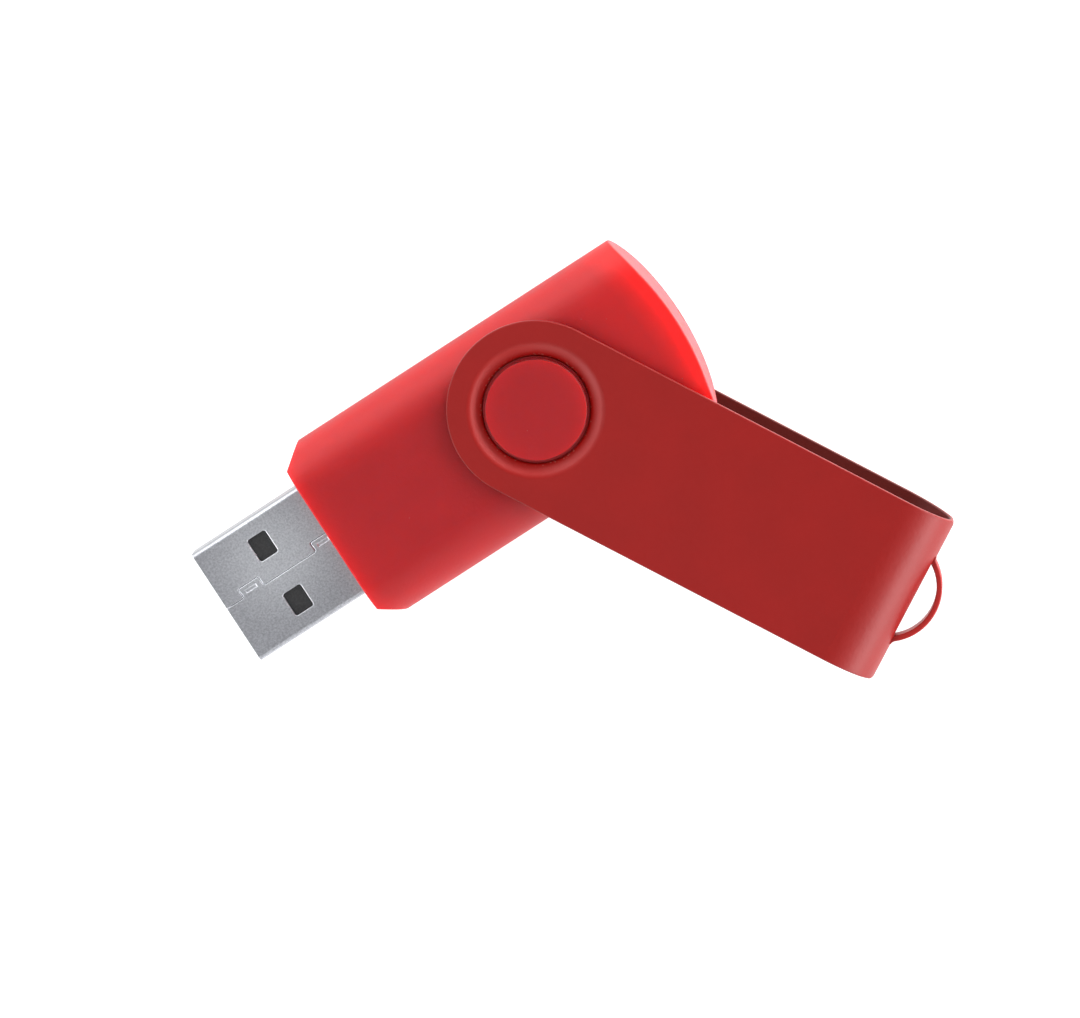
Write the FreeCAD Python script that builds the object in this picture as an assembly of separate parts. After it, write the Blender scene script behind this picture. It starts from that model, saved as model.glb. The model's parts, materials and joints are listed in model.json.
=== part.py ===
import FreeCAD, Part
import math
import os
from FreeCAD import Vector

# USB flash drive with a folded sheet-metal cover that swivels round the case.
# Millimetres. The drive lies flat: +Z up, the origin is on the pivot axis at
# the resting plane, and +X runs along the case from the pivot to its round end,
# so the plug points along -X.

# ---------------------------------------------------------------- driving sizes

# Swivel cover: one strip of sheet folded into a U round the case
cover_sheet = 0.55
cover_gap = 0.14
cover_half_width = 8.45
cover_reach = 39.9
cover_rest_angle = -60.5
cover_edge_round = 0.12
cover_corner_radius = 0.5

# Dished collar round each pivot hole of the cover: the sheet bends down to a
# cone, then turns down to the bore
collar_bore_radius = 5.1
collar_depth = 1.05
collar_shoulder_radius = 6.55
collar_cone_angle = 30
collar_shoulder_bend = 0.8
collar_lip_bend = 0.4
collar_lip_thickness = 0.5

# Keyring strap, lanced out of the fold and bowed outwards
strap_width = 2.6
strap_bow_radius = 4.95
strap_bow_reach = 42.0
strap_root_radius = 0.8
strap_edge_round = 0.16

# Case: two moulded halves that meet on the middle plane
case_thickness = 9.0
case_half_width = 9.5
case_front_x = -23.1
case_end_x = 15.65
case_end_radius = 27.7
corner_cut_length = 2.15
corner_cut_width = 1.75
case_wall = 1.3
case_edge_round = 0.2
lip_width = 0.55
lip_height = 0.5
lip_clearance = 0.04
end_pocket_width = 1.2
end_pocket_depth = 0.15
end_pocket_height = 0.6
end_pocket_rise = 0.8
end_pocket_y = -0.45

# Pivot bosses, one on each half
boss_land_radius = 5.02
boss_top_radius = 4.8
boss_step_depth = 0.95
boss_edge_round = 0.08
boss_recess_radius = 6.7
boss_core_radius = 3.9
boss_roof = 1.0

# Standard plug: folded steel shell
plug_width = 12.0
plug_height = 4.5
plug_tip_x = -35.15
shell_rear_x = -17.2
shell_sheet = 0.3
shell_corner_radius = 0.55
shell_fit = 0.05
window_front = 5.12
window_length = 2.0
window_width = 2.42
window_corner_radius = 0.25
window_offset = 3.05
seam_gap = 0.03
seam_y = -0.12
seam_tab_starts = (1.95, 10.1)
seam_tab_length = 2.2
seam_tab_width = 1.0
seam_tab_flare = 0.1
seam_corner_radius = 0.22
shell_edge_round = 0.1
mark_length = 1.25
mark_width = 0.4
mark_depth = 0.035
mark_slope = 0.08
mark_centre = (1.05, 0.4)
leg_rear_x = -14.5
leg_bottom_drop = 1.4
leg_top_drop = -0.3

# Plug insulator: a tongue in front of a block that fills the shell
tongue_front_gap = 0.45
tongue_thickness = 1.95
tongue_width = 11.3
tongue_nose_chamfer = 0.35
block_front_x = -24.3
block_rear_x = -17.6
insulator_edge_chamfer = 0.3

# Contacts, at the standard pitch
contact_width = 1.0
contact_thickness = 0.2
contact_stand_out = 0.1
contact_tail_x = -15.6
outer_contact_offset = 3.5
inner_contact_offset = 1.0
outer_contact_front = 1.3
inner_contact_front = 2.3

# Circuit board
board_thickness = 0.8
board_front_x = -16.9
board_rear_x = 12.6
board_half_width = 7.0
board_neck_half_width = 5.6
board_neck_end_x = -14.3
board_corner_radius = 0.5
pad_thickness = 0.04
pad_length = 2.2
pad_width = 1.3
test_pad_radius = 0.5
test_pad_pitch = 1.6
test_pad_count = 6
test_pad_x = 9.2

# Posts and ribs that hold the board and the plug
post_radius = 0.45
post_y = 6.55
post_xs = (-9.2, 10.5)
stop_half_width = 3.0
cradle_x = (-20.4, -19.4)
cradle_half_width = 7.4

# Memory chip (thin outline package, leads at both ends)
memory_length = 18.4
memory_width = 12.0
memory_height = 1.0
memory_x = 1.6
memory_leads_per_end = 24

# Controller chip (square package, leads on four sides)
controller_side = 7.0
controller_height = 1.4
controller_x = -4.0
controller_leads_per_side = 12

# Gull-wing leads of both chips
lead_pitch = 0.5
lead_width = 0.22
lead_sheet = 0.13
lead_shoulder = 0.3
lead_foot = 0.5
chip_standoff = 0.1

# Small parts
crystal_radius = 1.0
crystal_length = 6.0
crystal_x = -11.6
crystal_base_y = -3.2
crystal_base_length = 0.5
crystal_lead_spacing = 0.7
crystal_lead_sheet = 0.25
regulator_length = 2.9
regulator_width = 1.3
regulator_height = 1.0
regulator_position = (-12.0, 5.2)
regulator_lead_pitch = 0.95
regulator_lead_width = 0.4
chip_part_length = 1.6
chip_part_width = 0.8
chip_part_height = 0.7
chip_part_terminal = 0.3
capacitors_on_top = ((-13.3, -5.4), (-11.2, -5.9))
capacitors_below = ((2.2, 4.2), (2.2, -4.2), (-10.0, 3.4), (-10.0, -3.4))
resistors_below = ((2.2, 1.4), (2.2, -1.4), (4.6, 0.0), (-12.2, 0.0))
led_position = (11.2, 0.0)
led_height = 0.6
solder_height = 0.16
solder_length = 0.45
shell_solder_size = 0.5
shell_solder_length = 1.6

# ---------------------------------------------------------------- derived levels

stack_height = case_thickness + 2 * (cover_gap + cover_sheet)
mid_z = stack_height / 2
case_top_z = mid_z + case_thickness / 2
cavity_half_height = case_thickness / 2 - case_wall
fold_outer_radius = stack_height / 2
fold_x = cover_reach - fold_outer_radius
plug_top_z = mid_z + plug_height / 2
plug_bottom_z = mid_z - plug_height / 2
tongue_top_z = plug_top_z - shell_sheet
tongue_bottom_z = tongue_top_z - tongue_thickness
contact_bottom_z = tongue_bottom_z - contact_stand_out
board_top_z = contact_bottom_z - pad_thickness
board_bottom_z = board_top_z - board_thickness
above_all = 2 * stack_height
up = Vector(0, 0, 1)


# ---------------------------------------------------------------- shape helpers

def box(x_range, y_range, z_range):
    """Box between two values on each axis."""
    size = [max(pair) - min(pair) for pair in (x_range, y_range, z_range)]
    corner = Vector(min(x_range), min(y_range), min(z_range))
    return Part.makeBox(size[0], size[1], size[2], corner)


def post(radius, x, y, z_range):
    """Round upright post."""
    return Part.makeCylinder(radius, max(z_range) - min(z_range), Vector(x, y, min(z_range)))


def polygon(points):
    """Flat face inside a closed row of points."""
    return Part.Face(Part.makePolygon(list(points) + [points[0]]))


def fuse_all(shapes):
    """One solid out of several that touch or overlap."""
    whole = shapes[0].multiFuse(shapes[1:])
    return whole.removeSplitter()


def group(shapes):
    """Separate solids that share one node."""
    return Part.makeCompound(shapes)


def turned_over(shape):
    """The shape mirrored about the middle plane of the drive."""
    return shape.mirror(Vector(0, 0, mid_z), up)


def rounded_rectangle(width, height, radius, centre, across, along):
    """Face of a rounded rectangle; across and along are its two directions."""
    def at(a, b):
        return centre + across * a + along * b

    half_width, half_height = width / 2, height / 2
    diagonal = radius * (1 - math.sqrt(0.5))
    edges = []
    for sign_a, sign_b in ((1, 1), (-1, 1), (-1, -1), (1, -1)):
        start = at(sign_a * half_width, sign_b * (half_height - radius))
        middle = at(sign_a * (half_width - diagonal), sign_b * (half_height - diagonal))
        end = at(sign_a * (half_width - radius), sign_b * half_height)
        if sign_a * sign_b < 0:
            start, end = end, start
        if edges:
            edges.append(Part.LineSegment(last_end, start).toShape())
        else:
            first_start = start
        edges.append(Part.Arc(start, middle, end).toShape())
        last_end = end
    edges.append(Part.LineSegment(last_end, first_start).toShape())
    return Part.Face(Part.Wire(edges))


def keep_between(shape, z_range):
    """The part of a shape between two heights."""
    span = 100
    return shape.common(box((-span, span), (-span, span), z_range))


# ---------------------------------------------------------------- case

def case_plan(inset):
    """Outline of the case seen from above, moved inwards by inset."""
    front_x = case_front_x + inset
    side_y = case_half_width - inset
    end_radius = case_end_radius - inset
    end_centre_x = case_end_x - case_end_radius
    cut_size = math.hypot(corner_cut_length, corner_cut_width)
    cut_slope = corner_cut_width / corner_cut_length
    cut_start_y = case_half_width - corner_cut_width - inset * cut_size / corner_cut_length
    cut_front_y = cut_start_y + inset * cut_slope
    cut_side_x = front_x + (side_y - cut_front_y) / cut_slope
    end_side_x = end_centre_x + math.sqrt(end_radius ** 2 - side_y ** 2)
    corners = [
        Vector(end_side_x, side_y, 0),
        Vector(cut_side_x, side_y, 0),
        Vector(front_x, cut_front_y, 0),
        Vector(front_x, -cut_front_y, 0),
        Vector(cut_side_x, -side_y, 0),
        Vector(end_side_x, -side_y, 0),
    ]
    edges = [Part.LineSegment(a, b).toShape() for a, b in zip(corners, corners[1:])]
    end_apex = Vector(end_centre_x + end_radius, 0, 0)
    edges.append(Part.Arc(corners[-1], end_apex, corners[0]).toShape())
    return Part.Face(Part.Wire(edges))


def case_section(inset):
    """Cross-section of the case, flat above and below with fully rounded sides."""
    half_height = case_thickness / 2 - inset
    flat = case_half_width - case_thickness / 2
    x = case_front_x - 1
    low, high = mid_z - half_height, mid_z + half_height
    levels = ((flat, low), (flat, high), (-flat, high), (-flat, low))
    corners = [Vector(x, y, z) for y, z in levels]
    side = flat + half_height
    edges = [
        Part.Arc(corners[0], Vector(x, side, mid_z), corners[1]).toShape(),
        Part.LineSegment(corners[1], corners[2]).toShape(),
        Part.Arc(corners[2], Vector(x, -side, mid_z), corners[3]).toShape(),
        Part.LineSegment(corners[3], corners[0]).toShape(),
    ]
    return Part.Face(Part.Wire(edges))


def case_envelope(inset):
    """Solid of the whole case, moved inwards by inset."""
    length = case_end_x - case_front_x + 2
    bar = case_section(inset).extrude(Vector(length, 0, 0))
    plan = case_plan(inset).extrude(Vector(0, 0, above_all))
    return bar.common(plan)


def round_end_edges(envelope):
    """Break the sharp edges round the two ends of the case."""
    ends = []
    for edge in envelope.Edges:
        low, high = edge.BoundBox.XMin, edge.BoundBox.XMax
        runs_along_case = high - low > case_end_x
        if not runs_along_case:
            ends.append(edge)
    return envelope.makeFillet(case_edge_round, ends)


def plug_passage():
    """Clearance for the plug's shell through the front wall and the cradle."""
    width = plug_width + 2 * shell_fit
    height = plug_height + 2 * shell_fit
    start = Vector(case_front_x - 1, 0, mid_z)
    outline = rounded_rectangle(width, height, shell_corner_radius, start, Vector(0, 1, 0), up)
    return outline.extrude(Vector(shell_rear_x - case_front_x, 0, 0))


def parting_lip(clearance):
    """Ring round the cavity that joins the halves across the middle plane."""
    height = lip_height + clearance
    outer = case_plan(case_wall - lip_width - clearance).extrude(Vector(0, 0, height))
    inner = case_plan(case_wall).extrude(Vector(0, 0, height))
    ring = outer.cut(inner)
    ring.translate(Vector(0, 0, mid_z))
    return ring


def boss():
    """Stepped pivot boss on the upper face, up to the cover's outer face."""
    step_z = stack_height - boss_step_depth
    land = post(boss_land_radius, 0, 0, (mid_z + cavity_half_height, step_z))
    top = post(boss_top_radius, 0, 0, (step_z, stack_height))
    rim = [edge for edge in top.Edges if edge.BoundBox.ZMin > stack_height - boss_edge_round]
    return land.fuse(top.makeFillet(boss_edge_round, rim))


def boss_recess():
    """Ring sunk into the upper face, where the cover's collar turns."""
    floor_z = stack_height - collar_depth - cover_gap
    ring = post(boss_recess_radius, 0, 0, (floor_z, case_top_z + 1))
    return ring.cut(post(boss_land_radius, 0, 0, (floor_z - 1, case_top_z + 2)))


def boss_core():
    """Hollow inside the boss, so that its wall stays even."""
    return post(boss_core_radius, 0, 0, (mid_z, stack_height - boss_roof))


def upper_half_blank():
    """Upper half with its cavity, boss and plug cradle, before board details."""
    half = keep_between(round_end_edges(case_envelope(0)), (mid_z, stack_height))
    cavity = case_envelope(case_wall)
    cradle = box(cradle_x, (-cradle_half_width, cradle_half_width), (mid_z, stack_height))
    cradle = cradle.common(case_envelope(case_wall / 2))
    half = half.cut(boss_recess()).cut(cavity)
    half = half.fuse([cradle, boss()])
    return half.cut([boss_core(), plug_passage()])


def board_posts(z_range):
    """Posts that grip the board at its four corners."""
    return [post(post_radius, x, y, z_range) for x in post_xs for y in (-post_y, post_y)]


def upper_case():
    ceiling = mid_z + cavity_half_height + case_wall / 2
    half = upper_half_blank().cut(parting_lip(lip_clearance))
    return fuse_all([half] + board_posts((board_top_z, ceiling)))


def board_stop():
    """Rib behind the board that takes the push on the plug."""
    stop = box((board_rear_x, case_end_x), (-stop_half_width, stop_half_width), (0, board_top_z))
    return stop.common(case_envelope(case_wall / 2))


def end_pocket():
    """Shallow pocket low on the round end, beside its middle."""
    bottom = mid_z - case_thickness / 2 + end_pocket_rise
    half_width = end_pocket_width / 2
    return box((case_end_x - end_pocket_depth, case_end_x + 1),
               (end_pocket_y - half_width, end_pocket_y + half_width),
               (bottom, bottom + end_pocket_height))


def lower_case():
    floor = mid_z - cavity_half_height - case_wall / 2
    half = turned_over(upper_half_blank())
    lip = parting_lip(0).cut(plug_passage())
    whole = fuse_all([half, lip, board_stop()] + board_posts((floor, board_bottom_z)))
    return whole.cut(end_pocket())


# ---------------------------------------------------------------- swivel cover

def cover_plan():
    """Cover seen from above: straight sides and a round pivot end."""
    side = cover_half_width
    strip = box((0, cover_reach + 1), (-side, side), (0, above_all))
    return strip.fuse(post(side, 0, 0, (0, above_all))).removeSplitter()


def corner_trim(side):
    """Waste that leaves the far corners of the fold rounded, seen from above."""
    centre_x = cover_reach - cover_corner_radius
    centre_y = cover_half_width - cover_corner_radius
    y_range = (side * centre_y, side * (cover_half_width + 1))
    waste = box((centre_x, cover_reach + 1), y_range, (0, above_all))
    return waste.cut(post(cover_corner_radius, centre_x, side * centre_y, (-1, above_all + 1)))


def soften_sheet_edges(sheet):
    """Round both edges of the sheared rim all round the strip."""
    rim = [edge for edge in sheet.Edges if runs_on_rim(edge)]
    return sheet.makeFillet(cover_edge_round, rim)


def runs_on_rim(edge):
    """True for an edge between a face of the strip and its sheared rim."""
    size = edge.BoundBox
    crosses_sheet = size.ZLength < cover_sheet * 1.01 and size.ZLength > cover_sheet / 2
    middle = edge.valueAt((edge.FirstParameter + edge.LastParameter) / 2)
    inside_rim = abs(middle.y) < cover_half_width - cover_edge_round and middle.x > 0
    return not crosses_sheet and not inside_rim


def folded_sheet():
    """U-shaped strip: two plates joined by a round fold."""
    back_x = -2 * cover_half_width

    def layer(radius):
        low, high = mid_z - radius, mid_z + radius
        bar = box((back_x, fold_x), (-above_all, above_all), (low, high))
        start = Vector(fold_x, -above_all, mid_z)
        fold = Part.makeCylinder(radius, 2 * above_all, start, Vector(0, 1, 0))
        return bar.fuse(fold).removeSplitter()

    sheet = layer(fold_outer_radius).cut(layer(fold_outer_radius - cover_sheet))
    sheet = soften_sheet_edges(sheet.common(cover_plan()))
    return sheet.cut([corner_trim(-1), corner_trim(1)])


def bend(centre, radius, start_angle, end_angle):
    """Arc in the XZ plane between two angles in degrees, and its two ends."""
    def at(angle):
        turn = math.radians(angle)
        return centre + Vector(radius * math.cos(turn), 0, radius * math.sin(turn))

    start, end = at(start_angle), at(end_angle)
    return Part.Arc(start, at((start_angle + end_angle) / 2), end).toShape(), start, end


def collar():
    """Sheet dished smoothly inwards round the upper pivot hole."""
    top = stack_height
    bottom = top - collar_depth
    shoulder, bore = collar_shoulder_radius, collar_bore_radius
    cone = math.radians(collar_cone_angle)
    shoulder_bend, cone_top, rim = bend(Vector(shoulder, 0, top - collar_shoulder_bend),
                                        collar_shoulder_bend, 90 + collar_cone_angle, 90)
    lip_x = bore + collar_lip_bend
    cone_end_x = lip_x - collar_lip_bend * math.sin(cone)
    cone_end_z = cone_top.z - (cone_top.x - cone_end_x) * math.tan(cone)
    lip_bend, lip_start, cone_end = bend(Vector(lip_x, 0, cone_end_z - collar_lip_bend * math.cos(cone)),
                                         collar_lip_bend, 180, 90 + collar_cone_angle)
    under = top - cover_sheet
    inner_x = bore + collar_lip_thickness
    inner_end_x = inner_x + (under - bottom) / math.tan(cone)
    points = [lip_start, Vector(bore, 0, bottom), Vector(inner_x, 0, bottom),
              Vector(inner_end_x, 0, under), Vector(shoulder, 0, under), rim]
    edges = [shoulder_bend, lip_bend, Part.LineSegment(cone_top, cone_end).toShape()]
    edges += [Part.LineSegment(a, b).toShape() for a, b in zip(points, points[1:])]
    profile = Part.Face(Part.Wire(Part.__sortEdges__(edges)))
    return profile.revolve(Vector(0, 0, 0), up, 360)


def keyring_strap():
    """Narrow strap bowed out of the fold, to take a keyring or a lanyard."""
    half_sheet = cover_sheet / 2
    root_x = cover_reach - half_sheet + strap_root_radius
    bow_x = strap_bow_reach - strap_bow_radius
    centre_gap = strap_bow_radius + strap_root_radius
    root_y = math.sqrt(centre_gap ** 2 - (root_x - bow_x) ** 2)
    bow_centre = Vector(bow_x, 0, 0)

    def side(offset):
        """One face of the strap, offset from its middle line."""
        bow, root = strap_bow_radius + offset, strap_root_radius - offset
        pieces = []
        for sign in (-1, 1):
            centre = Vector(root_x, sign * root_y, 0)
            towards_bow = (bow_centre - centre).normalize()
            foot = centre + Vector(-root, 0, 0)
            joint = centre + towards_bow * root
            middle = centre + (Vector(-1, 0, 0) + towards_bow).normalize() * root
            pieces.append((foot, middle, joint))
        bow_apex = bow_centre + Vector(bow, 0, 0)
        edges = [Part.Arc(*piece).toShape() for piece in pieces]
        edges.append(Part.Arc(pieces[0][2], bow_apex, pieces[1][2]).toShape())
        return edges, pieces[0][0], pieces[1][0]

    outer_edges, outer_low, outer_high = side(half_sheet)
    inner_edges, inner_low, inner_high = side(-half_sheet)
    ends = [Part.LineSegment(outer, inner).toShape()
            for outer, inner in ((outer_low, inner_low), (outer_high, inner_high))]
    outline = Part.Wire(Part.__sortEdges__(outer_edges + inner_edges + ends))
    strap = Part.Face(outline).extrude(Vector(0, 0, strap_width))
    strap = soften_strap_edges(strap)
    strap.translate(Vector(0, 0, mid_z - strap_width / 2))
    slot_z = (mid_z - strap_width / 2, mid_z + strap_width / 2)
    slot = box((fold_x, cover_reach + 1), (-root_y, root_y), slot_z)
    return strap, slot


def soften_strap_edges(strap):
    """Round the long edges of the strap, which bow in plan."""
    long_edges = [edge for edge in strap.Edges if isinstance(edge.Curve, Part.Circle)]
    return strap.makeFillet(strap_edge_round, long_edges)


def swivel_cover():
    sheet = folded_sheet()
    hole = post(collar_shoulder_radius, 0, 0, (-1, stack_height + 1))
    upper_collar = collar()
    strap, slot = keyring_strap()
    cover = sheet.cut([hole, slot])
    cover = fuse_all([cover, upper_collar, turned_over(upper_collar), strap])
    cover.rotate(Vector(0, 0, 0), up, cover_rest_angle)
    return cover


# ---------------------------------------------------------------- plug

def shell_tube():
    """Plug shell as a closed rectangular tube."""
    start = Vector(plug_tip_x, 0, mid_z)
    length = Vector(shell_rear_x - plug_tip_x, 0, 0)
    across = Vector(0, 1, 0)
    inner_radius = shell_corner_radius - shell_sheet
    inner_width = plug_width - 2 * shell_sheet
    inner_height = plug_height - 2 * shell_sheet
    outer = rounded_rectangle(plug_width, plug_height, shell_corner_radius, start, across, up)
    inner = rounded_rectangle(inner_width, inner_height, inner_radius, start, across, up)
    return outer.extrude(length).cut(inner.extrude(length))


def shell_window(side):
    """Latch window through both broad faces of the shell."""
    centre = Vector(plug_tip_x + window_front + window_length / 2, side * window_offset, 0)
    outline = rounded_rectangle(window_length, window_width, window_corner_radius, centre,
                                Vector(1, 0, 0), Vector(0, 1, 0))
    return outline.extrude(Vector(0, 0, above_all))


def seam_corners():
    """Corners of the joint line on the shell, with its interlocking tabs."""
    corners = [(plug_tip_x - 1, seam_y)]
    for start in seam_tab_starts:
        left = plug_tip_x + start
        right = left + seam_tab_length
        high = seam_y + seam_tab_width
        corners += [(left, seam_y), (left - seam_tab_flare, high), (right, high), (right, seam_y)]
    corners.append((shell_rear_x + 1, seam_y))
    return [Vector(x, y, 0) for x, y in corners]


def rounded_path(corners, radius):
    """Open wire through the corners, with an arc in place of each inner one."""
    edges = []
    last = corners[0]
    for before, corner, after in zip(corners, corners[1:], corners[2:]):
        back = (before - corner).normalize()
        ahead = (after - corner).normalize()
        half_angle = back.getAngle(ahead) / 2
        start = corner + back * (radius / math.tan(half_angle))
        end = corner + ahead * (radius / math.tan(half_angle))
        inward = (back + ahead).normalize()
        middle = corner + inward * (radius / math.sin(half_angle) - radius)
        edges.append(Part.LineSegment(last, start).toShape())
        edges.append(Part.Arc(start, middle, end).toShape())
        last = end
    edges.append(Part.LineSegment(last, corners[-1]).toShape())
    return Part.Wire(edges)


def seam_slit():
    """Hairline gap where the two edges of the folded shell meet."""
    path = rounded_path(seam_corners(), seam_corner_radius)
    slit = path.makeOffset2D(seam_gap / 2, fill=True).extrude(Vector(0, 0, shell_sheet * 2))
    slit.translate(Vector(0, 0, tongue_top_z - seam_gap / 2))
    return slit


def coined_mark(start):
    """Shallow pressed pocket with sloping walls, inside a tab of the seam."""
    x = plug_tip_x + start + mark_centre[0]
    y = seam_y + mark_centre[1]

    def outline(shrink, z):
        half_x = mark_length / 2 - shrink
        half_y = mark_width / 2 - shrink
        signs = ((1, 1), (-1, 1), (-1, -1), (1, -1))
        points = [Vector(x + a * half_x, y + b * half_y, z) for a, b in signs]
        return Part.makePolygon(points + [points[0]])

    return Part.makeLoft([outline(mark_slope, plug_top_z - mark_depth), outline(0, plug_top_z)], True)


def soften_shell_edges(shell):
    """Round the edges of the seam and the windows on the broad outer faces."""
    edges = []
    for edge in shell.Edges:
        size = edge.BoundBox
        on_broad_face = size.ZMin > plug_top_z - 1e-6 or size.ZMax < plug_bottom_z + 1e-6
        on_side = max(abs(size.YMin), abs(size.YMax)) > plug_width / 2 - 2 * shell_corner_radius
        at_tip = size.XMax < plug_tip_x + 1e-6
        at_end = at_tip or size.XMin > shell_rear_x - 1e-6
        if on_broad_face and not on_side and not at_end:
            edges.append(edge)
    return shell.makeFillet(shell_edge_round, edges)


def shell_leg(side):
    """Rearward extension of a side wall, soldered beside the board."""
    outside = side * plug_width / 2
    inside = side * (plug_width / 2 - shell_sheet)
    z_range = (mid_z - leg_bottom_drop, mid_z - leg_top_drop)
    return box((shell_rear_x, leg_rear_x), (inside, outside), z_range)


def plug_shell():
    shell = shell_tube().cut([shell_window(-1), shell_window(1), seam_slit()])
    shell = soften_shell_edges(shell)
    shell = shell.cut([coined_mark(start) for start in seam_tab_starts])
    return fuse_all([shell, shell_leg(-1), shell_leg(1)])


def contact_offsets():
    """Name, sideways place and setback from the tip of each contact."""
    return {
        "contact_power": (outer_contact_offset, outer_contact_front),
        "contact_data_minus": (inner_contact_offset, inner_contact_front),
        "contact_data_plus": (-inner_contact_offset, inner_contact_front),
        "contact_ground": (-outer_contact_offset, outer_contact_front),
    }


def contact(offset, setback):
    """Flat contact strip from the tongue to its tail on the board."""
    return box((plug_tip_x + setback, contact_tail_x),
               (offset - contact_width / 2, offset + contact_width / 2),
               (contact_bottom_z, contact_bottom_z + contact_thickness))


def chamfered_bar(x_range, z_range):
    """Bar along the plug with its four long edges chamfered."""
    bar = box(x_range, (-tongue_width / 2, tongue_width / 2), z_range)
    long_edges = [edge for edge in bar.Edges if edge.BoundBox.XLength > 1 and edge.BoundBox.YLength < 1
                  and edge.BoundBox.ZLength < 1]
    return bar.makeChamfer(insulator_edge_chamfer, long_edges)


def plug_insulator():
    tongue_front_x = plug_tip_x + tongue_front_gap
    tongue = chamfered_bar((tongue_front_x, block_front_x + 1), (tongue_bottom_z, tongue_top_z))
    nose = [edge for edge in tongue.Edges
            if edge.BoundBox.XMax < tongue_front_x + tongue_nose_chamfer
            and edge.BoundBox.YLength > tongue_width / 2
            and edge.BoundBox.ZMax < mid_z + tongue_thickness / 2]
    tongue = tongue.makeChamfer(tongue_nose_chamfer, nose)
    block = chamfered_bar((block_front_x, block_rear_x), (plug_bottom_z + shell_sheet, tongue_top_z))
    body = fuse_all([tongue, block])
    return body.cut([contact(*place) for place in contact_offsets().values()])


# ---------------------------------------------------------------- board and parts on it

def circuit_board():
    neck = board_neck_half_width
    side = board_half_width
    outline = [
        Vector(board_front_x, -neck, board_bottom_z), Vector(board_neck_end_x, -neck, board_bottom_z),
        Vector(board_neck_end_x, -side, board_bottom_z), Vector(board_rear_x, -side, board_bottom_z),
        Vector(board_rear_x, side, board_bottom_z), Vector(board_neck_end_x, side, board_bottom_z),
        Vector(board_neck_end_x, neck, board_bottom_z), Vector(board_front_x, neck, board_bottom_z),
    ]
    board = polygon(outline).extrude(Vector(0, 0, board_thickness))
    rear_corners = [edge for edge in board.Edges
                    if edge.BoundBox.XMin > board_rear_x - 1
                    and edge.BoundBox.ZLength > board_thickness / 2
                    and edge.BoundBox.YLength < 1]
    return board.makeFillet(board_corner_radius, rear_corners)


def board_pads():
    top = (board_top_z, board_top_z + pad_thickness)
    pads = []
    for offset, _ in contact_offsets().values():
        pads.append(box((board_front_x + pad_thickness, board_front_x + pad_length),
                        (offset - pad_width / 2, offset + pad_width / 2), top))
    below = (board_bottom_z - pad_thickness, board_bottom_z)
    first_y = -test_pad_pitch * (test_pad_count - 1) / 2
    for index in range(test_pad_count):
        pads.append(post(test_pad_radius, test_pad_x, first_y + index * test_pad_pitch, below))
    return group(pads)


def chip_body(length, width, height, x, y):
    """Moulded chip package standing just above the board."""
    low = board_top_z + chip_standoff
    body = box((x - length / 2, x + length / 2), (y - width / 2, y + width / 2), (low, low + height))
    upright = [edge for edge in body.Edges if edge.BoundBox.ZLength > height / 2]
    return body.makeChamfer(chip_standoff, upright)


def gull_wing_lead(body_edge, body_height, reach, width, thickness):
    """Bent lead that leaves a package along +X and stands on the board."""
    low = board_top_z
    high = board_top_z + chip_standoff + body_height / 2
    bend_x = body_edge + reach
    foot_x = bend_x + lead_foot
    outline = [
        Vector(body_edge, -width / 2, high), Vector(bend_x, -width / 2, high),
        Vector(bend_x, -width / 2, low + thickness), Vector(foot_x, -width / 2, low + thickness),
        Vector(foot_x, -width / 2, low), Vector(bend_x - thickness, -width / 2, low),
        Vector(bend_x - thickness, -width / 2, high - thickness),
        Vector(body_edge, -width / 2, high - thickness),
    ]
    return polygon(outline).extrude(Vector(0, width, 0))


def lead_row(lead, count, pitch, angle, centre):
    """Copies of a lead in a row, turned to face one side of the package."""
    row = []
    for index in range(count):
        copy = lead.copy()
        copy.translate(Vector(0, (index - (count - 1) / 2) * pitch, 0))
        copy.rotate(Vector(0, 0, 0), up, angle)
        copy.translate(centre)
        row.append(copy)
    return row


def under_board(shape):
    """A part made for the top of the board, placed under it instead."""
    middle = board_bottom_z + board_thickness / 2
    return shape.mirror(Vector(0, 0, middle), up)


def memory_chip():
    return chip_body(memory_length, memory_width, memory_height, memory_x, 0)


def memory_chip_leads():
    lead = gull_wing_lead(memory_length / 2, memory_height, lead_shoulder, lead_width, lead_sheet)
    centre = Vector(memory_x, 0, 0)
    leads = []
    for angle in (0, 180):
        leads += lead_row(lead, memory_leads_per_end, lead_pitch, angle, centre)
    return group(leads)


def controller_chip():
    return under_board(chip_body(controller_side, controller_side, controller_height, controller_x, 0))


def controller_chip_leads():
    lead = gull_wing_lead(controller_side / 2, controller_height, lead_shoulder, lead_width, lead_sheet)
    centre = Vector(controller_x, 0, 0)
    leads = []
    for angle in (0, 90, 180, 270):
        leads += lead_row(lead, controller_leads_per_side, lead_pitch, angle, centre)
    return under_board(group(leads))


def crystal_barrel(y_start, length, radius):
    """Round can lying on the board across the drive."""
    start = Vector(crystal_x, y_start, board_top_z + crystal_radius)
    return Part.makeCylinder(radius, length, start, Vector(0, 1, 0))


def crystal_can():
    can = crystal_barrel(crystal_base_y, crystal_length, crystal_radius)
    far_rim = [edge for edge in can.Edges if edge.BoundBox.YMin > crystal_base_y + crystal_length / 2]
    return can.makeFillet(crystal_radius / 4, far_rim)


def crystal_base():
    return crystal_barrel(crystal_base_y - crystal_base_length, crystal_base_length, crystal_radius * 0.95)


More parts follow.
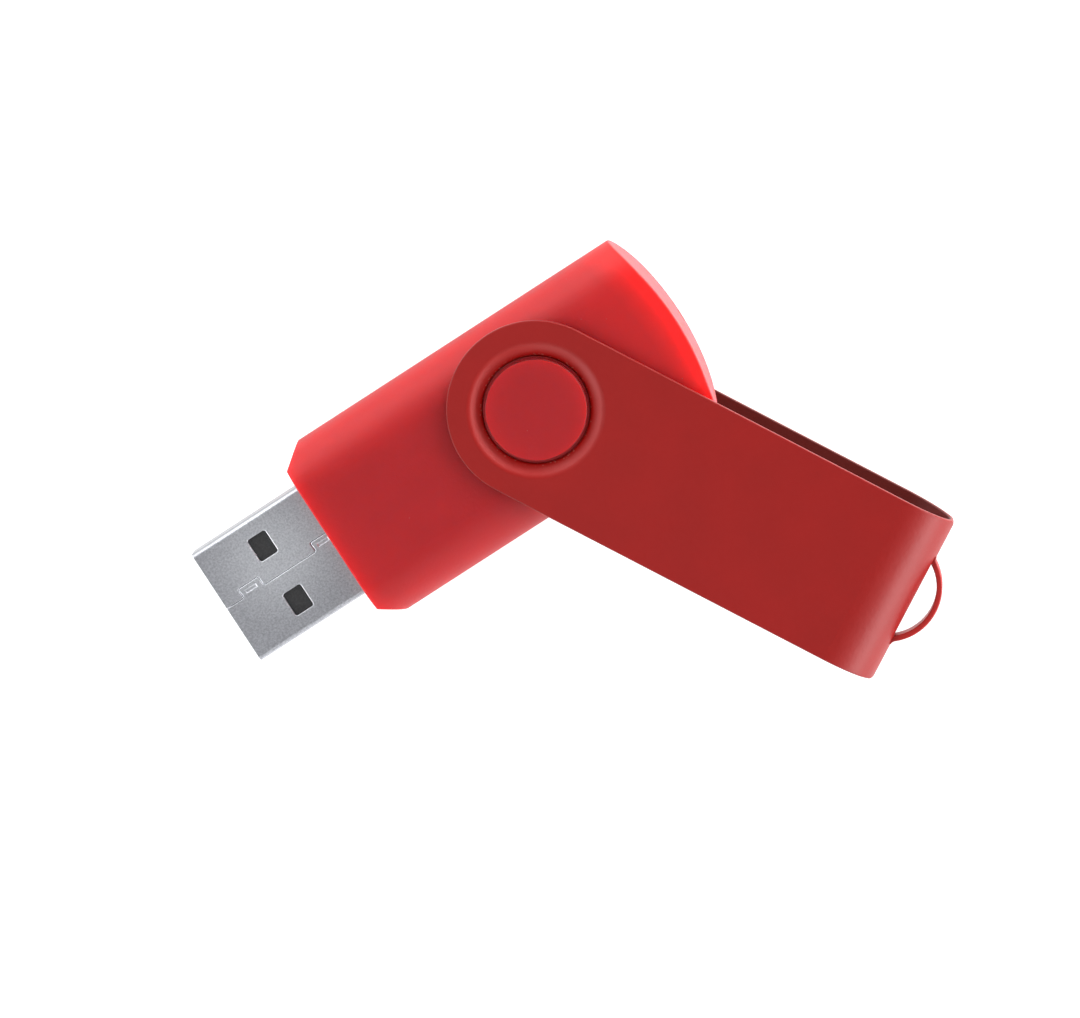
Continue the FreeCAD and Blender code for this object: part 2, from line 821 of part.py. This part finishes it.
def crystal_leads():
    reach = lead_shoulder
    lead = gull_wing_lead(0, 2 * (crystal_radius - chip_standoff) + crystal_lead_sheet, reach,
                          crystal_lead_sheet, crystal_lead_sheet)
    centre = Vector(crystal_x, crystal_base_y - crystal_base_length, 0)
    return group(lead_row(lead, 2, crystal_lead_spacing, -90, centre))


def voltage_regulator():
    x, y = regulator_position
    return chip_body(regulator_length, regulator_width, regulator_height, x, y)


def voltage_regulator_leads():
    x, y = regulator_position
    lead = gull_wing_lead(regulator_width / 2, regulator_height, lead_sheet,
                          regulator_lead_width, lead_sheet)
    centre = Vector(x, y, 0)
    pair = lead_row(lead, 2, 2 * regulator_lead_pitch, 90, centre)
    single = lead_row(lead, 1, 0, -90, centre)
    return group(pair + single)


def chip_part(x, y, height):
    """Small two-terminal part: its body and its pair of end terminals."""
    half_length = chip_part_length / 2
    y_range = (y - chip_part_width / 2, y + chip_part_width / 2)
    z_range = (board_top_z, board_top_z + height)
    inner = half_length - chip_part_terminal
    body = box((x - inner, x + inner), y_range, z_range)
    ends = [box((x + side * inner, x + side * half_length), y_range, z_range) for side in (-1, 1)]
    return body, ends


def chip_parts(on_top, below, height):
    """Bodies and terminals of a set of small parts on both sides of the board."""
    bodies, terminals = [], []
    for x, y in on_top:
        body, ends = chip_part(x, y, height)
        bodies.append(body)
        terminals += ends
    for x, y in below:
        body, ends = chip_part(x, y, height)
        bodies.append(under_board(body))
        terminals += [under_board(end) for end in ends]
    return group(bodies), group(terminals)


def contact_solder_joints():
    """Solder wedge behind the tail of each contact."""
    low = board_top_z + pad_thickness
    joints = []
    for offset, _ in contact_offsets().values():
        y = offset - contact_width / 2
        wedge = polygon([Vector(contact_tail_x, y, low), Vector(contact_tail_x + solder_length, y, low),
                         Vector(contact_tail_x, y, low + solder_height)])
        joints.append(wedge.extrude(Vector(0, contact_width, 0)))
    return group(joints)


def shell_solder_joints():
    """Solder wedge between the board and each leg of the shell."""
    x = board_front_x + solder_length
    joints = []
    for side in (-1, 1):
        wall = side * (plug_width / 2 - shell_sheet)
        board_edge = side * board_neck_half_width
        inboard = side * (board_neck_half_width - shell_solder_size)
        wedge = polygon([Vector(x, inboard, board_top_z), Vector(x, board_edge, board_top_z),
                         Vector(x, wall, board_top_z), Vector(x, wall, board_top_z + shell_solder_size)])
        joints.append(wedge.extrude(Vector(shell_solder_length, 0, 0)))
    return group(joints)


# ---------------------------------------------------------------- write the nodes

def all_nodes():
    """Every piece of the drive, by node name."""
    capacitors, capacitor_terminals = chip_parts(capacitors_on_top, capacitors_below, chip_part_height)
    resistors, resistor_terminals = chip_parts((), resistors_below, chip_part_height / 2)
    indicator_led, led_terminals = chip_parts((), (led_position,), led_height)
    nodes = {
        "upper_case": upper_case(),
        "lower_case": lower_case(),
        "swivel_cover": swivel_cover(),
        "plug_shell": plug_shell(),
        "plug_insulator": plug_insulator(),
        "circuit_board": circuit_board(),
        "board_pads": board_pads(),
        "memory_chip": memory_chip(),
        "memory_chip_leads": memory_chip_leads(),
        "controller_chip": controller_chip(),
        "controller_chip_leads": controller_chip_leads(),
        "crystal_can": crystal_can(),
        "crystal_base": crystal_base(),
        "crystal_leads": crystal_leads(),
        "voltage_regulator": voltage_regulator(),
        "voltage_regulator_leads": voltage_regulator_leads(),
        "capacitors": capacitors,
        "capacitor_terminals": capacitor_terminals,
        "resistors": resistors,
        "resistor_terminals": resistor_terminals,
        "indicator_led": indicator_led,
        "led_terminals": led_terminals,
        "contact_solder_joints": contact_solder_joints(),
        "shell_solder_joints": shell_solder_joints(),
    }
    for name, place in contact_offsets().items():
        nodes[name] = contact(*place)
    return nodes


os.makedirs("parts", exist_ok=True)
for name, shape in all_nodes().items():
    shape.exportStep("parts/" + name + ".step")
    print(name, "solids", len(shape.Solids), "volume", round(shape.Volume, 3), "valid", shape.isValid())
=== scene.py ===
import json
import math

import bpy
from mathutils import Matrix, Vector


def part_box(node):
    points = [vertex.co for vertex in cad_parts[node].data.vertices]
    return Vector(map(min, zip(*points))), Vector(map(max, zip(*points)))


# Looks for the swivel USB flash drive. Metres; +X runs along the case to its
# round end, +Y across it, +Z up from the surface that the drive lies on.

MM = 0.001
WHITE = (1.0, 1.0, 1.0, 1.0)

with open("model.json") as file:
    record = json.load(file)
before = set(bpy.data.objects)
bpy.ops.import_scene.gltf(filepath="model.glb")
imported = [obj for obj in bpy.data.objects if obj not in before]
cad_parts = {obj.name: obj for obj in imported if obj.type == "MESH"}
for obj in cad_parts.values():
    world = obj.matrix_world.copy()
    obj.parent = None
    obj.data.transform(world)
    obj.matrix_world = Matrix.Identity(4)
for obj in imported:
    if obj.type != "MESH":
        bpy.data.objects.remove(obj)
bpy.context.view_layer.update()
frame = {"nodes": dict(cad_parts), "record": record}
nodes = frame["nodes"]

CAMERA_AZIMUTH = math.radians(34.54)
CAMERA_ELEVATION = math.radians(82.86)
CAMERA_ROLL = math.radians(157.55)
CAMERA_DISTANCE = 903 * MM
CAMERA_TARGET = Vector((-5.32, -8.38, 5.19)) * MM
CAMERA_LENS = 318.8
CAMERA_SENSOR = 36.0
CAMERA_CLIP_START = 0.05
CAMERA_CLIP_END = 10.0

WORLD_COLOUR = (0.97, 0.98, 1.0)
WORLD_STRENGTH = 0.02
FLOOR_SIZE = 4.0
FLOOR_DRIFT = 0.5
FLOOR_COLOURS = ((0.44, 0.44, 0.44), (0.46, 0.46, 0.46))
FLOOR_ROUGHNESS = 0.9
FLOOR_GLOW = 0.9

# Soft boxes, in groups: name, height and azimuths in degrees, watts of each box
SOFT_BOX_DISTANCE = 0.5
SOFT_BOX_SIZE = 0.3
SOFT_BOX_GROUPS = (
    ("key_light", 8, (-60, -30, 0, 30), 1.65),
    ("edge_light", 8, (90, 135, 180), 0.56),
    ("left_light", 25, (90, 135, 180, 225), 0.56),
    ("right_light", 25, (-90, -45, 0, 45), 0.19),
    ("high_light", 48, (-90, 0, 90, 180), 0.21),
    ("top_light", 70, (180,), 0.15),
)

# Sizes of the CAD shapes that the finishes follow
CASE_END_RADIUS = 27.7 * MM
BOSS_RADIUS = 4.8 * MM
BORE_RADIUS = 5.1 * MM
COLLAR_RADIUS = 6.6 * MM
COVER_REACH = 39.9 * MM
COVER_SHEET = 0.55 * MM

# Painted glow in the case's colour, standing in for light that leaks through the plastic and light that
# falls on its long sides: its share, and the depths in from the edge where it starts and stops fading
ROUND_END_PAINTED_GLOW = (1.0, 0.0, 5.5 * MM)
ROUND_END_PAINTED_HAZE = (0.4, 2.0 * MM, 13.0 * MM)
PLUG_END_PAINTED_GLOW = (0.14, 0.0, 5.0 * MM)
PLUS_Y_SIDE_PAINTED_LIGHT = (0.30, 1.5 * MM, 5.5 * MM)
MINUS_Y_SIDE_PAINTED_LIGHT = (0.15, 0.0, 4.0 * MM)

# Case plastic; a fade is the pair of places where it starts and stops
CASE_DRIFT = 6 * MM
CASE_BODY = ((0.41, 0.006, 0.010), (0.44, 0.007, 0.011))
# Painted glow: lighter red where light comes through the plastic and falls on the long sides
CASE_PAINTED_GLOW = (0.80, 0.009, 0.009)
# Painted sheen: pale pink on the round end face, where the low side lights fall on it
CASE_END_FACE_PAINTED_SHEEN = (0.85, 0.07, 0.08)
CASE_END_FACE_FADE = (0.03 * MM, 0.1 * MM)
# Painted shade: darker red on the boss rims, dulling the light they catch
BOSS_RIM_PAINTED_SHADE = (0.11, 0.001, 0.002)
BOSS_RIM_HEIGHT = 0.3 * MM
BOSS_RIM_WIDTH = 0.12 * MM
CASE_DUST = (0.42, 0.08, 0.08)
CASE_DUST_SPACING = 1.6 * MM
CASE_DUST_SIZE = 0.06 * MM
CASE_ROUGHNESS = (0.44, 0.56)
CASE_IOR = 1.45
CASE_SCATTER_RADIUS = (1.0, 0.10, 0.05)
CASE_SCATTER_SCALE = 5.0 * MM
CASE_FINE_GRAIN = 0.11 * MM
CASE_FINE_RELIEF = 0.009 * MM
CASE_COARSE_GRAIN = 0.35 * MM
CASE_COARSE_RELIEF = 0.012 * MM

# Cover paint
COVER_DRIFT = 5 * MM
COVER_BODY = ((0.278, 0.0026, 0.001), (0.295, 0.0028, 0.0012))
# Painted shade: darker red on the inner face of the fold
COVER_INSIDE_PAINTED_SHADE = (0.12, 0.009, 0.006)
COVER_INSIDE_FADE = (0.05 * MM, 0.2 * MM)
COVER_INSIDE_MARGIN = 1.0 * MM
# Painted light: lighter red on the keyring strap
COVER_STRAP_PAINTED_LIGHT = (0.41, 0.012, 0.009)
COVER_STRAP_START = 0.6 * MM
# Painted light: brighter red on the collar slopes round the bores
COVER_COLLAR_PAINTED_LIGHT = (0.36, 0.003, 0.0006)
COVER_COLLAR_WIDTH = 0.6 * MM
COVER_WORN = (0.40, 0.14, 0.11)
COVER_WORN_FADE = (0.12 * MM, 0.3 * MM)
COVER_WORN_SPACING = 0.30 * MM
COVER_WORN_SIZE = 0.10 * MM
COVER_ROUGHNESS = (0.38, 0.50)
COVER_IOR = 1.5
COVER_FINE_GRAIN = 0.10 * MM
COVER_FINE_RELIEF = 0.008 * MM
COVER_PEEL_GRAIN = 0.45 * MM
COVER_PEEL_RELIEF = 0.016 * MM

# Plug steel, with a painted highlight; its brightest place is given from the tip and from the middle of
# the width
STEEL_SPECKLE = 0.19 * MM
STEEL_DULL = ((0.44, 0.45, 0.49), (0.68, 0.69, 0.74))
STEEL_PAINTED_HIGHLIGHT = ((0.68, 0.70, 0.75), (0.93, 0.95, 1.00))
STEEL_BRIGHT_ALONG = 6.5 * MM
STEEL_BRIGHT_ACROSS = 1.7 * MM
STEEL_BRIGHT_FADE = (1.0 * MM, 7.5 * MM)
# Painted shade: darker steel on the plug's +Y side wall
STEEL_SIDE_PAINTED_SHADE = (0.38, 0.39, 0.41)
STEEL_SIDE_FADE = (0.05 * MM, 0.3 * MM)
STEEL_ROUGHNESS = (0.26, 0.48)
STEEL_RELIEF = 0.015 * MM

# Small parts: low and high colour, grain, roughness, metallic
SMALL_PART_FINISHES = {
    "insulator_plastic": ((0.025, 0.025, 0.026), (0.041, 0.041, 0.043), 0.15 * MM, 0.5, 0.0),
    "contact_gold": ((0.80, 0.55, 0.20), (0.88, 0.62, 0.26), 0.2 * MM, 0.25, 1.0),
    "board_laminate": ((0.010, 0.10, 0.030), (0.014, 0.13, 0.04), 0.4 * MM, 0.35, 0.0),
    "chip_plastic": ((0.012, 0.012, 0.013), (0.022, 0.022, 0.024), 0.08 * MM, 0.6, 0.0),
    "tinned_metal": ((0.60, 0.60, 0.60), (0.72, 0.72, 0.71), 0.1 * MM, 0.3, 1.0),
    "can_steel": ((0.55, 0.55, 0.56), (0.66, 0.66, 0.66), 0.15 * MM, 0.25, 1.0),
    "capacitor_ceramic": ((0.30, 0.18, 0.09), (0.36, 0.22, 0.12), 0.08 * MM, 0.6, 0.0),
    "resistor_ceramic": ((0.012, 0.012, 0.014), (0.03, 0.03, 0.03), 0.1 * MM, 0.4, 0.0),
    "led_resin": ((0.75, 0.72, 0.58), (0.80, 0.78, 0.66), 0.2 * MM, 0.2, 0.0),
    "solder": ((0.55, 0.55, 0.56), (0.68, 0.68, 0.68), 0.15 * MM, 0.35, 1.0),
}
SMALL_PART_ROUGHNESS_SPREAD = 0.05
SMALL_PART_RELIEF = 0.003 * MM

# Patterns: octaves and roughness of the noise, the part of its range that
# colours spread over, and the solid share of a speck
FINE_DETAIL = 3.0
SPECKLE_DETAIL = 4.0
SPECKLE_ROUGHNESS = 0.7
NOISE_LOW = 0.35
NOISE_HIGH = 0.65
SPECK_CORE = 0.6

# Places of the Mix node's colour sockets, whose names its other sockets share
MIX_FACTOR = 0
MIX_LOW = 6
MIX_HIGH = 7
MIX_RESULT = 2


# ---------------------------------------------------------------- view and light

def direction(azimuth, elevation):
    """Unit vector towards an azimuth from +X and a height above the floor."""
    level = math.cos(elevation)
    return Vector((level * math.cos(azimuth), level * math.sin(azimuth), math.sin(elevation)))


def make_camera():
    """Long-lens camera, nearly straight above the drive."""
    data = bpy.data.cameras.new("camera")
    data.lens = CAMERA_LENS
    data.sensor_width = CAMERA_SENSOR
    data.clip_start = CAMERA_CLIP_START
    data.clip_end = CAMERA_CLIP_END
    back = direction(CAMERA_AZIMUTH, CAMERA_ELEVATION)
    up = (Vector((0, 0, 1)) - back * back.z).normalized()
    right = up.cross(back)
    top = up * math.cos(CAMERA_ROLL) + right * math.sin(CAMERA_ROLL)
    side = top.cross(back)
    turn = Matrix((side, top, back)).transposed()
    camera = bpy.data.objects.new("camera", data)
    camera.matrix_world = Matrix.Translation(CAMERA_TARGET + back * CAMERA_DISTANCE) @ turn.to_4x4()
    bpy.context.scene.collection.objects.link(camera)
    bpy.context.scene.camera = camera


def make_world():
    """Faint, even surroundings."""
    world = bpy.data.worlds.new("studio")
    world.use_nodes = True
    background = world.node_tree.nodes["Background"]
    background.inputs["Color"].default_value = (*WORLD_COLOUR, 1.0)
    background.inputs["Strength"].default_value = WORLD_STRENGTH
    bpy.context.scene.world = world


def soft_box(name, azimuth, elevation, power):
    """Square soft box that faces the drive from a direction in degrees."""
    data = bpy.data.lights.new(name, "AREA")
    data.shape = "SQUARE"
    data.size = SOFT_BOX_SIZE
    data.energy = power
    light = bpy.data.objects.new(name, data)
    towards = direction(math.radians(azimuth), math.radians(elevation))
    light.location = towards * SOFT_BOX_DISTANCE
    light.rotation_mode = "QUATERNION"
    light.rotation_quaternion = towards.to_track_quat("Z", "Y")
    light.visible_camera = False
    bpy.context.scene.collection.objects.link(light)


def make_studio():
    """Soft boxes round the drive, and a pale floor."""
    make_world()
    for name, elevation, azimuths, power in SOFT_BOX_GROUPS:
        for azimuth in azimuths:
            soft_box(name, azimuth, elevation, power)
    bpy.ops.mesh.primitive_plane_add(size=FLOOR_SIZE)
    floor = bpy.context.object
    floor.name = "floor"
    floor.data.materials.append(floor_material())


# ---------------------------------------------------------------- shader helpers

def shader(name):
    """New material and its main shader."""
    material = bpy.data.materials.new(name)
    material.use_nodes = True
    return material, material.node_tree.nodes["Principled BSDF"]


def set_inputs(node, **values):
    """Set plain socket values; spaces in a socket's name are written as underscores."""
    for socket, value in values.items():
        node.inputs[socket.replace("_", " ")].default_value = value


def link(material, output, node, socket):
    """Join an output to one of a node's inputs."""
    material.node_tree.links.new(output, node.inputs[socket])


def object_place(material):
    """Place of the shaded point on its piece."""
    return material.node_tree.nodes.new("ShaderNodeTexCoord").outputs["Object"]


def object_noise(material, size, detail=2.0, roughness=0.5):
    """Noise pattern fixed to the piece; size is the grain in metres."""
    noise = material.node_tree.nodes.new("ShaderNodeTexNoise")
    set_inputs(noise, Scale=1.0 / size, Detail=detail, Roughness=roughness)
    link(material, object_place(material), noise, "Vector")
    return noise.outputs["Fac"]


def colour_between(material, noise, low, high):
    """Colour that wanders between two values with the noise."""
    ramp = material.node_tree.nodes.new("ShaderNodeValToRGB")
    ramp.color_ramp.elements[0].position = NOISE_LOW
    ramp.color_ramp.elements[0].color = (*low, 1.0)
    ramp.color_ramp.elements[1].position = NOISE_HIGH
    ramp.color_ramp.elements[1].color = (*high, 1.0)
    link(material, noise, ramp, "Fac")
    return ramp.outputs["Color"]


def value_between(material, noise, low, high):
    """Number that wanders between two values with the noise."""
    span = material.node_tree.nodes.new("ShaderNodeMapRange")
    set_inputs(span, To_Min=low, To_Max=high)
    link(material, noise, span, "Value")
    return span.outputs["Result"]


def bump(material, height, distance, after=None):
    """Fine relief from a height pattern, on top of an earlier relief if there is one."""
    node = material.node_tree.nodes.new("ShaderNodeBump")
    set_inputs(node, Strength=1.0, Distance=distance)
    link(material, height, node, "Height")
    if after:
        link(material, after, node, "Normal")
    return node.outputs["Normal"]


def axis_values(material):
    """Object coordinates of the shaded point as three separate numbers."""
    axes = material.node_tree.nodes.new("ShaderNodeSeparateXYZ")
    link(material, object_place(material), axes, "Vector")
    return axes.outputs["X"], axes.outputs["Y"], axes.outputs["Z"]


def maths(material, operation, *values):
    """Result of one sum on sockets or plain numbers."""
    node = material.node_tree.nodes.new("ShaderNodeMath")
    node.operation = operation
    for socket, value in zip(node.inputs, values):
        if isinstance(value, (int, float)):
            socket.default_value = value
        else:
            material.node_tree.links.new(value, socket)
    return node.outputs["Value"]


def root_of_squares(material, first, second):
    """Long side of a right-angled triangle with these two short sides."""
    squares = [maths(material, "MULTIPLY", side, side) for side in (first, second)]
    return maths(material, "SQRT", maths(material, "ADD", *squares))


def distance_from(material, x, y):
    """Distance of the shaded point from an upright line, seen from above."""
    along, across, _ = axis_values(material)
    along = maths(material, "SUBTRACT", along, x)
    across = maths(material, "SUBTRACT", across, y)
    return root_of_squares(material, along, across)


def fade(material, value, start, end):
    """Smooth change from 1 at start to 0 at end."""
    span = material.node_tree.nodes.new("ShaderNodeMapRange")
    span.interpolation_type = "SMOOTHSTEP"
    set_inputs(span, From_Min=start, From_Max=end, To_Min=1.0, To_Max=0.0)
    link(material, value, span, "Value")
    return span.outputs["Result"]


def mix_colours(material, factor, low, high):
    """Colour that goes from low, a socket, to high, a socket or a plain value, with the factor."""
    node = material.node_tree.nodes.new("ShaderNodeMix")
    node.data_type = "RGBA"
    link(material, factor, node, MIX_FACTOR)
    link(material, low, node, MIX_LOW)
    if isinstance(high, tuple):
        node.inputs[MIX_HIGH].default_value = (*high, 1.0)
    else:
        link(material, high, node, MIX_HIGH)
    return node.outputs[MIX_RESULT]


def specks(material, spacing, size):
    """1 in small scattered specks, 0 elsewhere."""
    cells = material.node_tree.nodes.new("ShaderNodeTexVoronoi")
    set_inputs(cells, Scale=1.0 / spacing)
    link(material, object_place(material), cells, "Vector")
    return fade(material, cells.outputs["Distance"], size / spacing * SPECK_CORE, size / spacing)


# ---------------------------------------------------------------- finishes

def floor_material():
    """Pale floor that glows a little, so that it looks nearly white."""
    material, surface = shader("pale_floor")
    pale = colour_between(material, object_noise(material, FLOOR_DRIFT), *FLOOR_COLOURS)
    link(material, pale, surface, "Base Color")
    set_inputs(surface, Roughness=FLOOR_ROUGHNESS, Emission_Color=WHITE, Emission_Strength=FLOOR_GLOW)
    return material


def round_end_depth(material):
    """Depth of the shaded point in from the case's round end."""
    _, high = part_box("upper_case")
    return maths(material, "SUBTRACT", CASE_END_RADIUS,
                 distance_from(material, high[0] - CASE_END_RADIUS, 0.0))


def painted_case_glow_share(material):
    """Share of painted glow in the case's colour, standing in for light through the plastic and on its
    sides: most at the round end, some at the other edges.
    """
    low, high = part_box("upper_case")
    along, across, _ = axis_values(material)
    painted_glows = (
        (round_end_depth(material), ROUND_END_PAINTED_GLOW),
        (round_end_depth(material), ROUND_END_PAINTED_HAZE),
        (maths(material, "SUBTRACT", along, low[0]), PLUG_END_PAINTED_GLOW),
        (maths(material, "SUBTRACT", high[1], across), PLUS_Y_SIDE_PAINTED_LIGHT),
        (maths(material, "SUBTRACT", across, low[1]), MINUS_Y_SIDE_PAINTED_LIGHT),
    )
    total = 0.0
    for depth, (share, start, end) in painted_glows:
        painted_glow = maths(material, "MULTIPLY", fade(material, depth, start, end), share)
        total = maths(material, "MAXIMUM", painted_glow, total)
    return total


def boss_rim_shade_mask(material):
    """1 on the rims of the two pivot bosses, which stand beyond the case's broad faces; painted shade
    goes there to dull the light that the rims catch.
    """
    low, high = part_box("upper_case")
    middle = low[2]
    _, _, z = axis_values(material)
    height = maths(material, "ABSOLUTE", maths(material, "SUBTRACT", z, middle))
    reach = high[2] - middle
    standing = fade(material, height, reach, reach - BOSS_RIM_HEIGHT)
    outer = fade(material, distance_from(material, 0.0, 0.0), BOSS_RADIUS, BOSS_RADIUS - BOSS_RIM_WIDTH)
    return maths(material, "MULTIPLY", standing, outer)


def case_plastic():
    """Soft red plastic that lets a little light through, with painted glow near its ends and long
    sides, a painted sheen on its round end face and painted shade on the boss rims.
    """
    material, surface = shader("case_plastic")
    colour = colour_between(material, object_noise(material, CASE_DRIFT), *CASE_BODY)
    # Painted glow: the case's colour goes lighter near its ends and long sides
    colour = mix_colours(material, painted_case_glow_share(material), colour, CASE_PAINTED_GLOW)
    # Painted sheen on the round end face
    on_end = fade(material, round_end_depth(material), *CASE_END_FACE_FADE)
    colour = mix_colours(material, on_end, colour, CASE_END_FACE_PAINTED_SHEEN)
    # Painted shade on the boss rims
    colour = mix_colours(material, boss_rim_shade_mask(material), colour, BOSS_RIM_PAINTED_SHADE)
    dust = specks(material, CASE_DUST_SPACING, CASE_DUST_SIZE)
    link(material, mix_colours(material, dust, colour, CASE_DUST), surface, "Base Color")
    fine = object_noise(material, CASE_FINE_GRAIN, FINE_DETAIL)
    link(material, value_between(material, fine, *CASE_ROUGHNESS), surface, "Roughness")
    set_inputs(surface, IOR=CASE_IOR, Subsurface_Weight=1.0, Subsurface_Radius=CASE_SCATTER_RADIUS,
               Subsurface_Scale=CASE_SCATTER_SCALE)
    relief = bump(material, object_noise(material, CASE_COARSE_GRAIN), CASE_COARSE_RELIEF)
    link(material, bump(material, fine, CASE_FINE_RELIEF, after=relief), surface, "Normal")
    return material


def distance_along_cover(material):
    """Distance of the shaded point from the pivot, measured along the cover."""
    strap = next(mount for mount in frame["record"]["mounts"] if mount["name"] == "keyring_strap")
    turn = math.atan2(strap["pos_m"][1], strap["pos_m"][0])
    x, y, _ = axis_values(material)
    return maths(material, "ADD", maths(material, "MULTIPLY", x, math.cos(turn)),
                 maths(material, "MULTIPLY", y, math.sin(turn)))


def cover_inside_shade_mask(material, along):
    """1 on the inner face of the folded sheet, where painted shade darkens the paint, 0 on its outer
    face and round the bores.
    """
    low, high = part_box("swivel_cover")
    middle = (low[2] + high[2]) / 2
    half_height = (high[2] - low[2]) / 2
    _, _, z = axis_values(material)
    past_fold = maths(material, "SUBTRACT", along, COVER_REACH - half_height)
    past_fold = maths(material, "MAXIMUM", past_fold, 0.0)
    above = maths(material, "SUBTRACT", z, middle)
    inner = half_height - COVER_SHEET
    start, end = COVER_INSIDE_FADE
    inside = fade(material, root_of_squares(material, past_fold, above), inner + start, inner + end)
    from_pivot = distance_from(material, 0.0, 0.0)
    near_bore = fade(material, from_pivot, COLLAR_RADIUS, COLLAR_RADIUS + COVER_INSIDE_MARGIN)
    return maths(material, "SUBTRACT", inside, near_bore)


def cover_paint():
    """Satin red paint on sheet metal, slightly worn where the bores rub, with painted shade on its
    inner face and painted light on the strap and round the collars.
    """
    material, surface = shader("cover_paint")
    from_pivot = distance_from(material, 0.0, 0.0)
    along = distance_along_cover(material)
    colour = colour_between(material, object_noise(material, COVER_DRIFT), *COVER_BODY)
    # Painted shade inside the fold
    colour = mix_colours(material, cover_inside_shade_mask(material, along), colour, COVER_INSIDE_PAINTED_SHADE)
    # Painted light on the keyring strap
    on_strap = fade(material, along, COVER_REACH + COVER_STRAP_START, COVER_REACH)
    colour = mix_colours(material, on_strap, colour, COVER_STRAP_PAINTED_LIGHT)
    # Painted light on the collar slopes
    on_collar = fade(material, from_pivot, COLLAR_RADIUS - COVER_COLLAR_WIDTH, COLLAR_RADIUS)
    colour = mix_colours(material, on_collar, colour, COVER_COLLAR_PAINTED_LIGHT)
    start, end = COVER_WORN_FADE
    at_bore = fade(material, from_pivot, BORE_RADIUS + start, BORE_RADIUS + end)
    worn = maths(material, "MULTIPLY", at_bore, specks(material, COVER_WORN_SPACING, COVER_WORN_SIZE))
    link(material, mix_colours(material, worn, colour, COVER_WORN), surface, "Base Color")
    fine = object_noise(material, COVER_FINE_GRAIN, FINE_DETAIL)
    link(material, value_between(material, fine, *COVER_ROUGHNESS), surface, "Roughness")
    set_inputs(surface, IOR=COVER_IOR)
    relief = bump(material, object_noise(material, COVER_PEEL_GRAIN), COVER_PEEL_RELIEF)
    link(material, bump(material, fine, COVER_FINE_RELIEF, after=relief), surface, "Normal")
    return material


def plug_steel():
    """Satin plated steel with a fine speckle, with a painted highlight near its middle and painted
    shade on its +Y side.
    """
    material, surface = shader("plug_steel")
    low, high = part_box("plug_shell")
    speckle = object_noise(material, STEEL_SPECKLE, SPECKLE_DETAIL, SPECKLE_ROUGHNESS)
    dull = colour_between(material, speckle, *STEEL_DULL)
    # Painted highlight: lighter steel colour round a place near the middle of the plug
    painted_highlight = colour_between(material, speckle, *STEEL_PAINTED_HIGHLIGHT)
    middle = (low[1] + high[1]) / 2
    from_painted_highlight = distance_from(material, low[0] + STEEL_BRIGHT_ALONG, middle + STEEL_BRIGHT_ACROSS)
    colour = mix_colours(material, fade(material, from_painted_highlight, *STEEL_BRIGHT_FADE), dull, painted_highlight)
    # Painted shade on the +Y side wall
    _, across, _ = axis_values(material)
    side_depth = maths(material, "SUBTRACT", high[1], across)
    on_side = fade(material, side_depth, *STEEL_SIDE_FADE)
    link(material, mix_colours(material, on_side, colour, STEEL_SIDE_PAINTED_SHADE), surface, "Base Color")
    link(material, value_between(material, speckle, *STEEL_ROUGHNESS), surface, "Roughness")
    set_inputs(surface, Metallic=1.0)
    link(material, bump(material, speckle, STEEL_RELIEF), surface, "Normal")
    return material


def small_part_finish(name, low, high, grain, roughness, metallic):
    """Small part's finish: a colour that wanders a little, with a fine relief."""
    material, surface = shader(name)
    noise = object_noise(material, grain, FINE_DETAIL)
    link(material, colour_between(material, noise, low, high), surface, "Base Color")
    smoothest = roughness - SMALL_PART_ROUGHNESS_SPREAD
    roughest = roughness + SMALL_PART_ROUGHNESS_SPREAD
    link(material, value_between(material, noise, smoothest, roughest), surface, "Roughness")
    set_inputs(surface, Metallic=metallic)
    link(material, bump(material, noise, SMALL_PART_RELIEF), surface, "Normal")
    return material


MAIN_FINISHES = {
    "case_plastic": case_plastic,
    "cover_paint": cover_paint,
    "plug_steel": plug_steel,
}


def finish(slot):
    """Material for one of the CAD model's material slots."""
    if slot in MAIN_FINISHES:
        return MAIN_FINISHES[slot]()
    return small_part_finish(slot, *SMALL_PART_FINISHES[slot])


def finish_cad_nodes():
    """Give every CAD node the finish of its material slot."""
    made = {}
    for row in frame["record"]["subparts"]:
        slot = row["material_slot"]
        if slot not in made:
            made[slot] = finish(slot)
        node = nodes[row["node"]]
        for index in range(len(node.material_slots)):
            node.material_slots[index].material = made[slot]


make_camera()
make_studio()
finish_cad_nodes()
bpy.context.scene.view_settings.view_transform = "Standard"
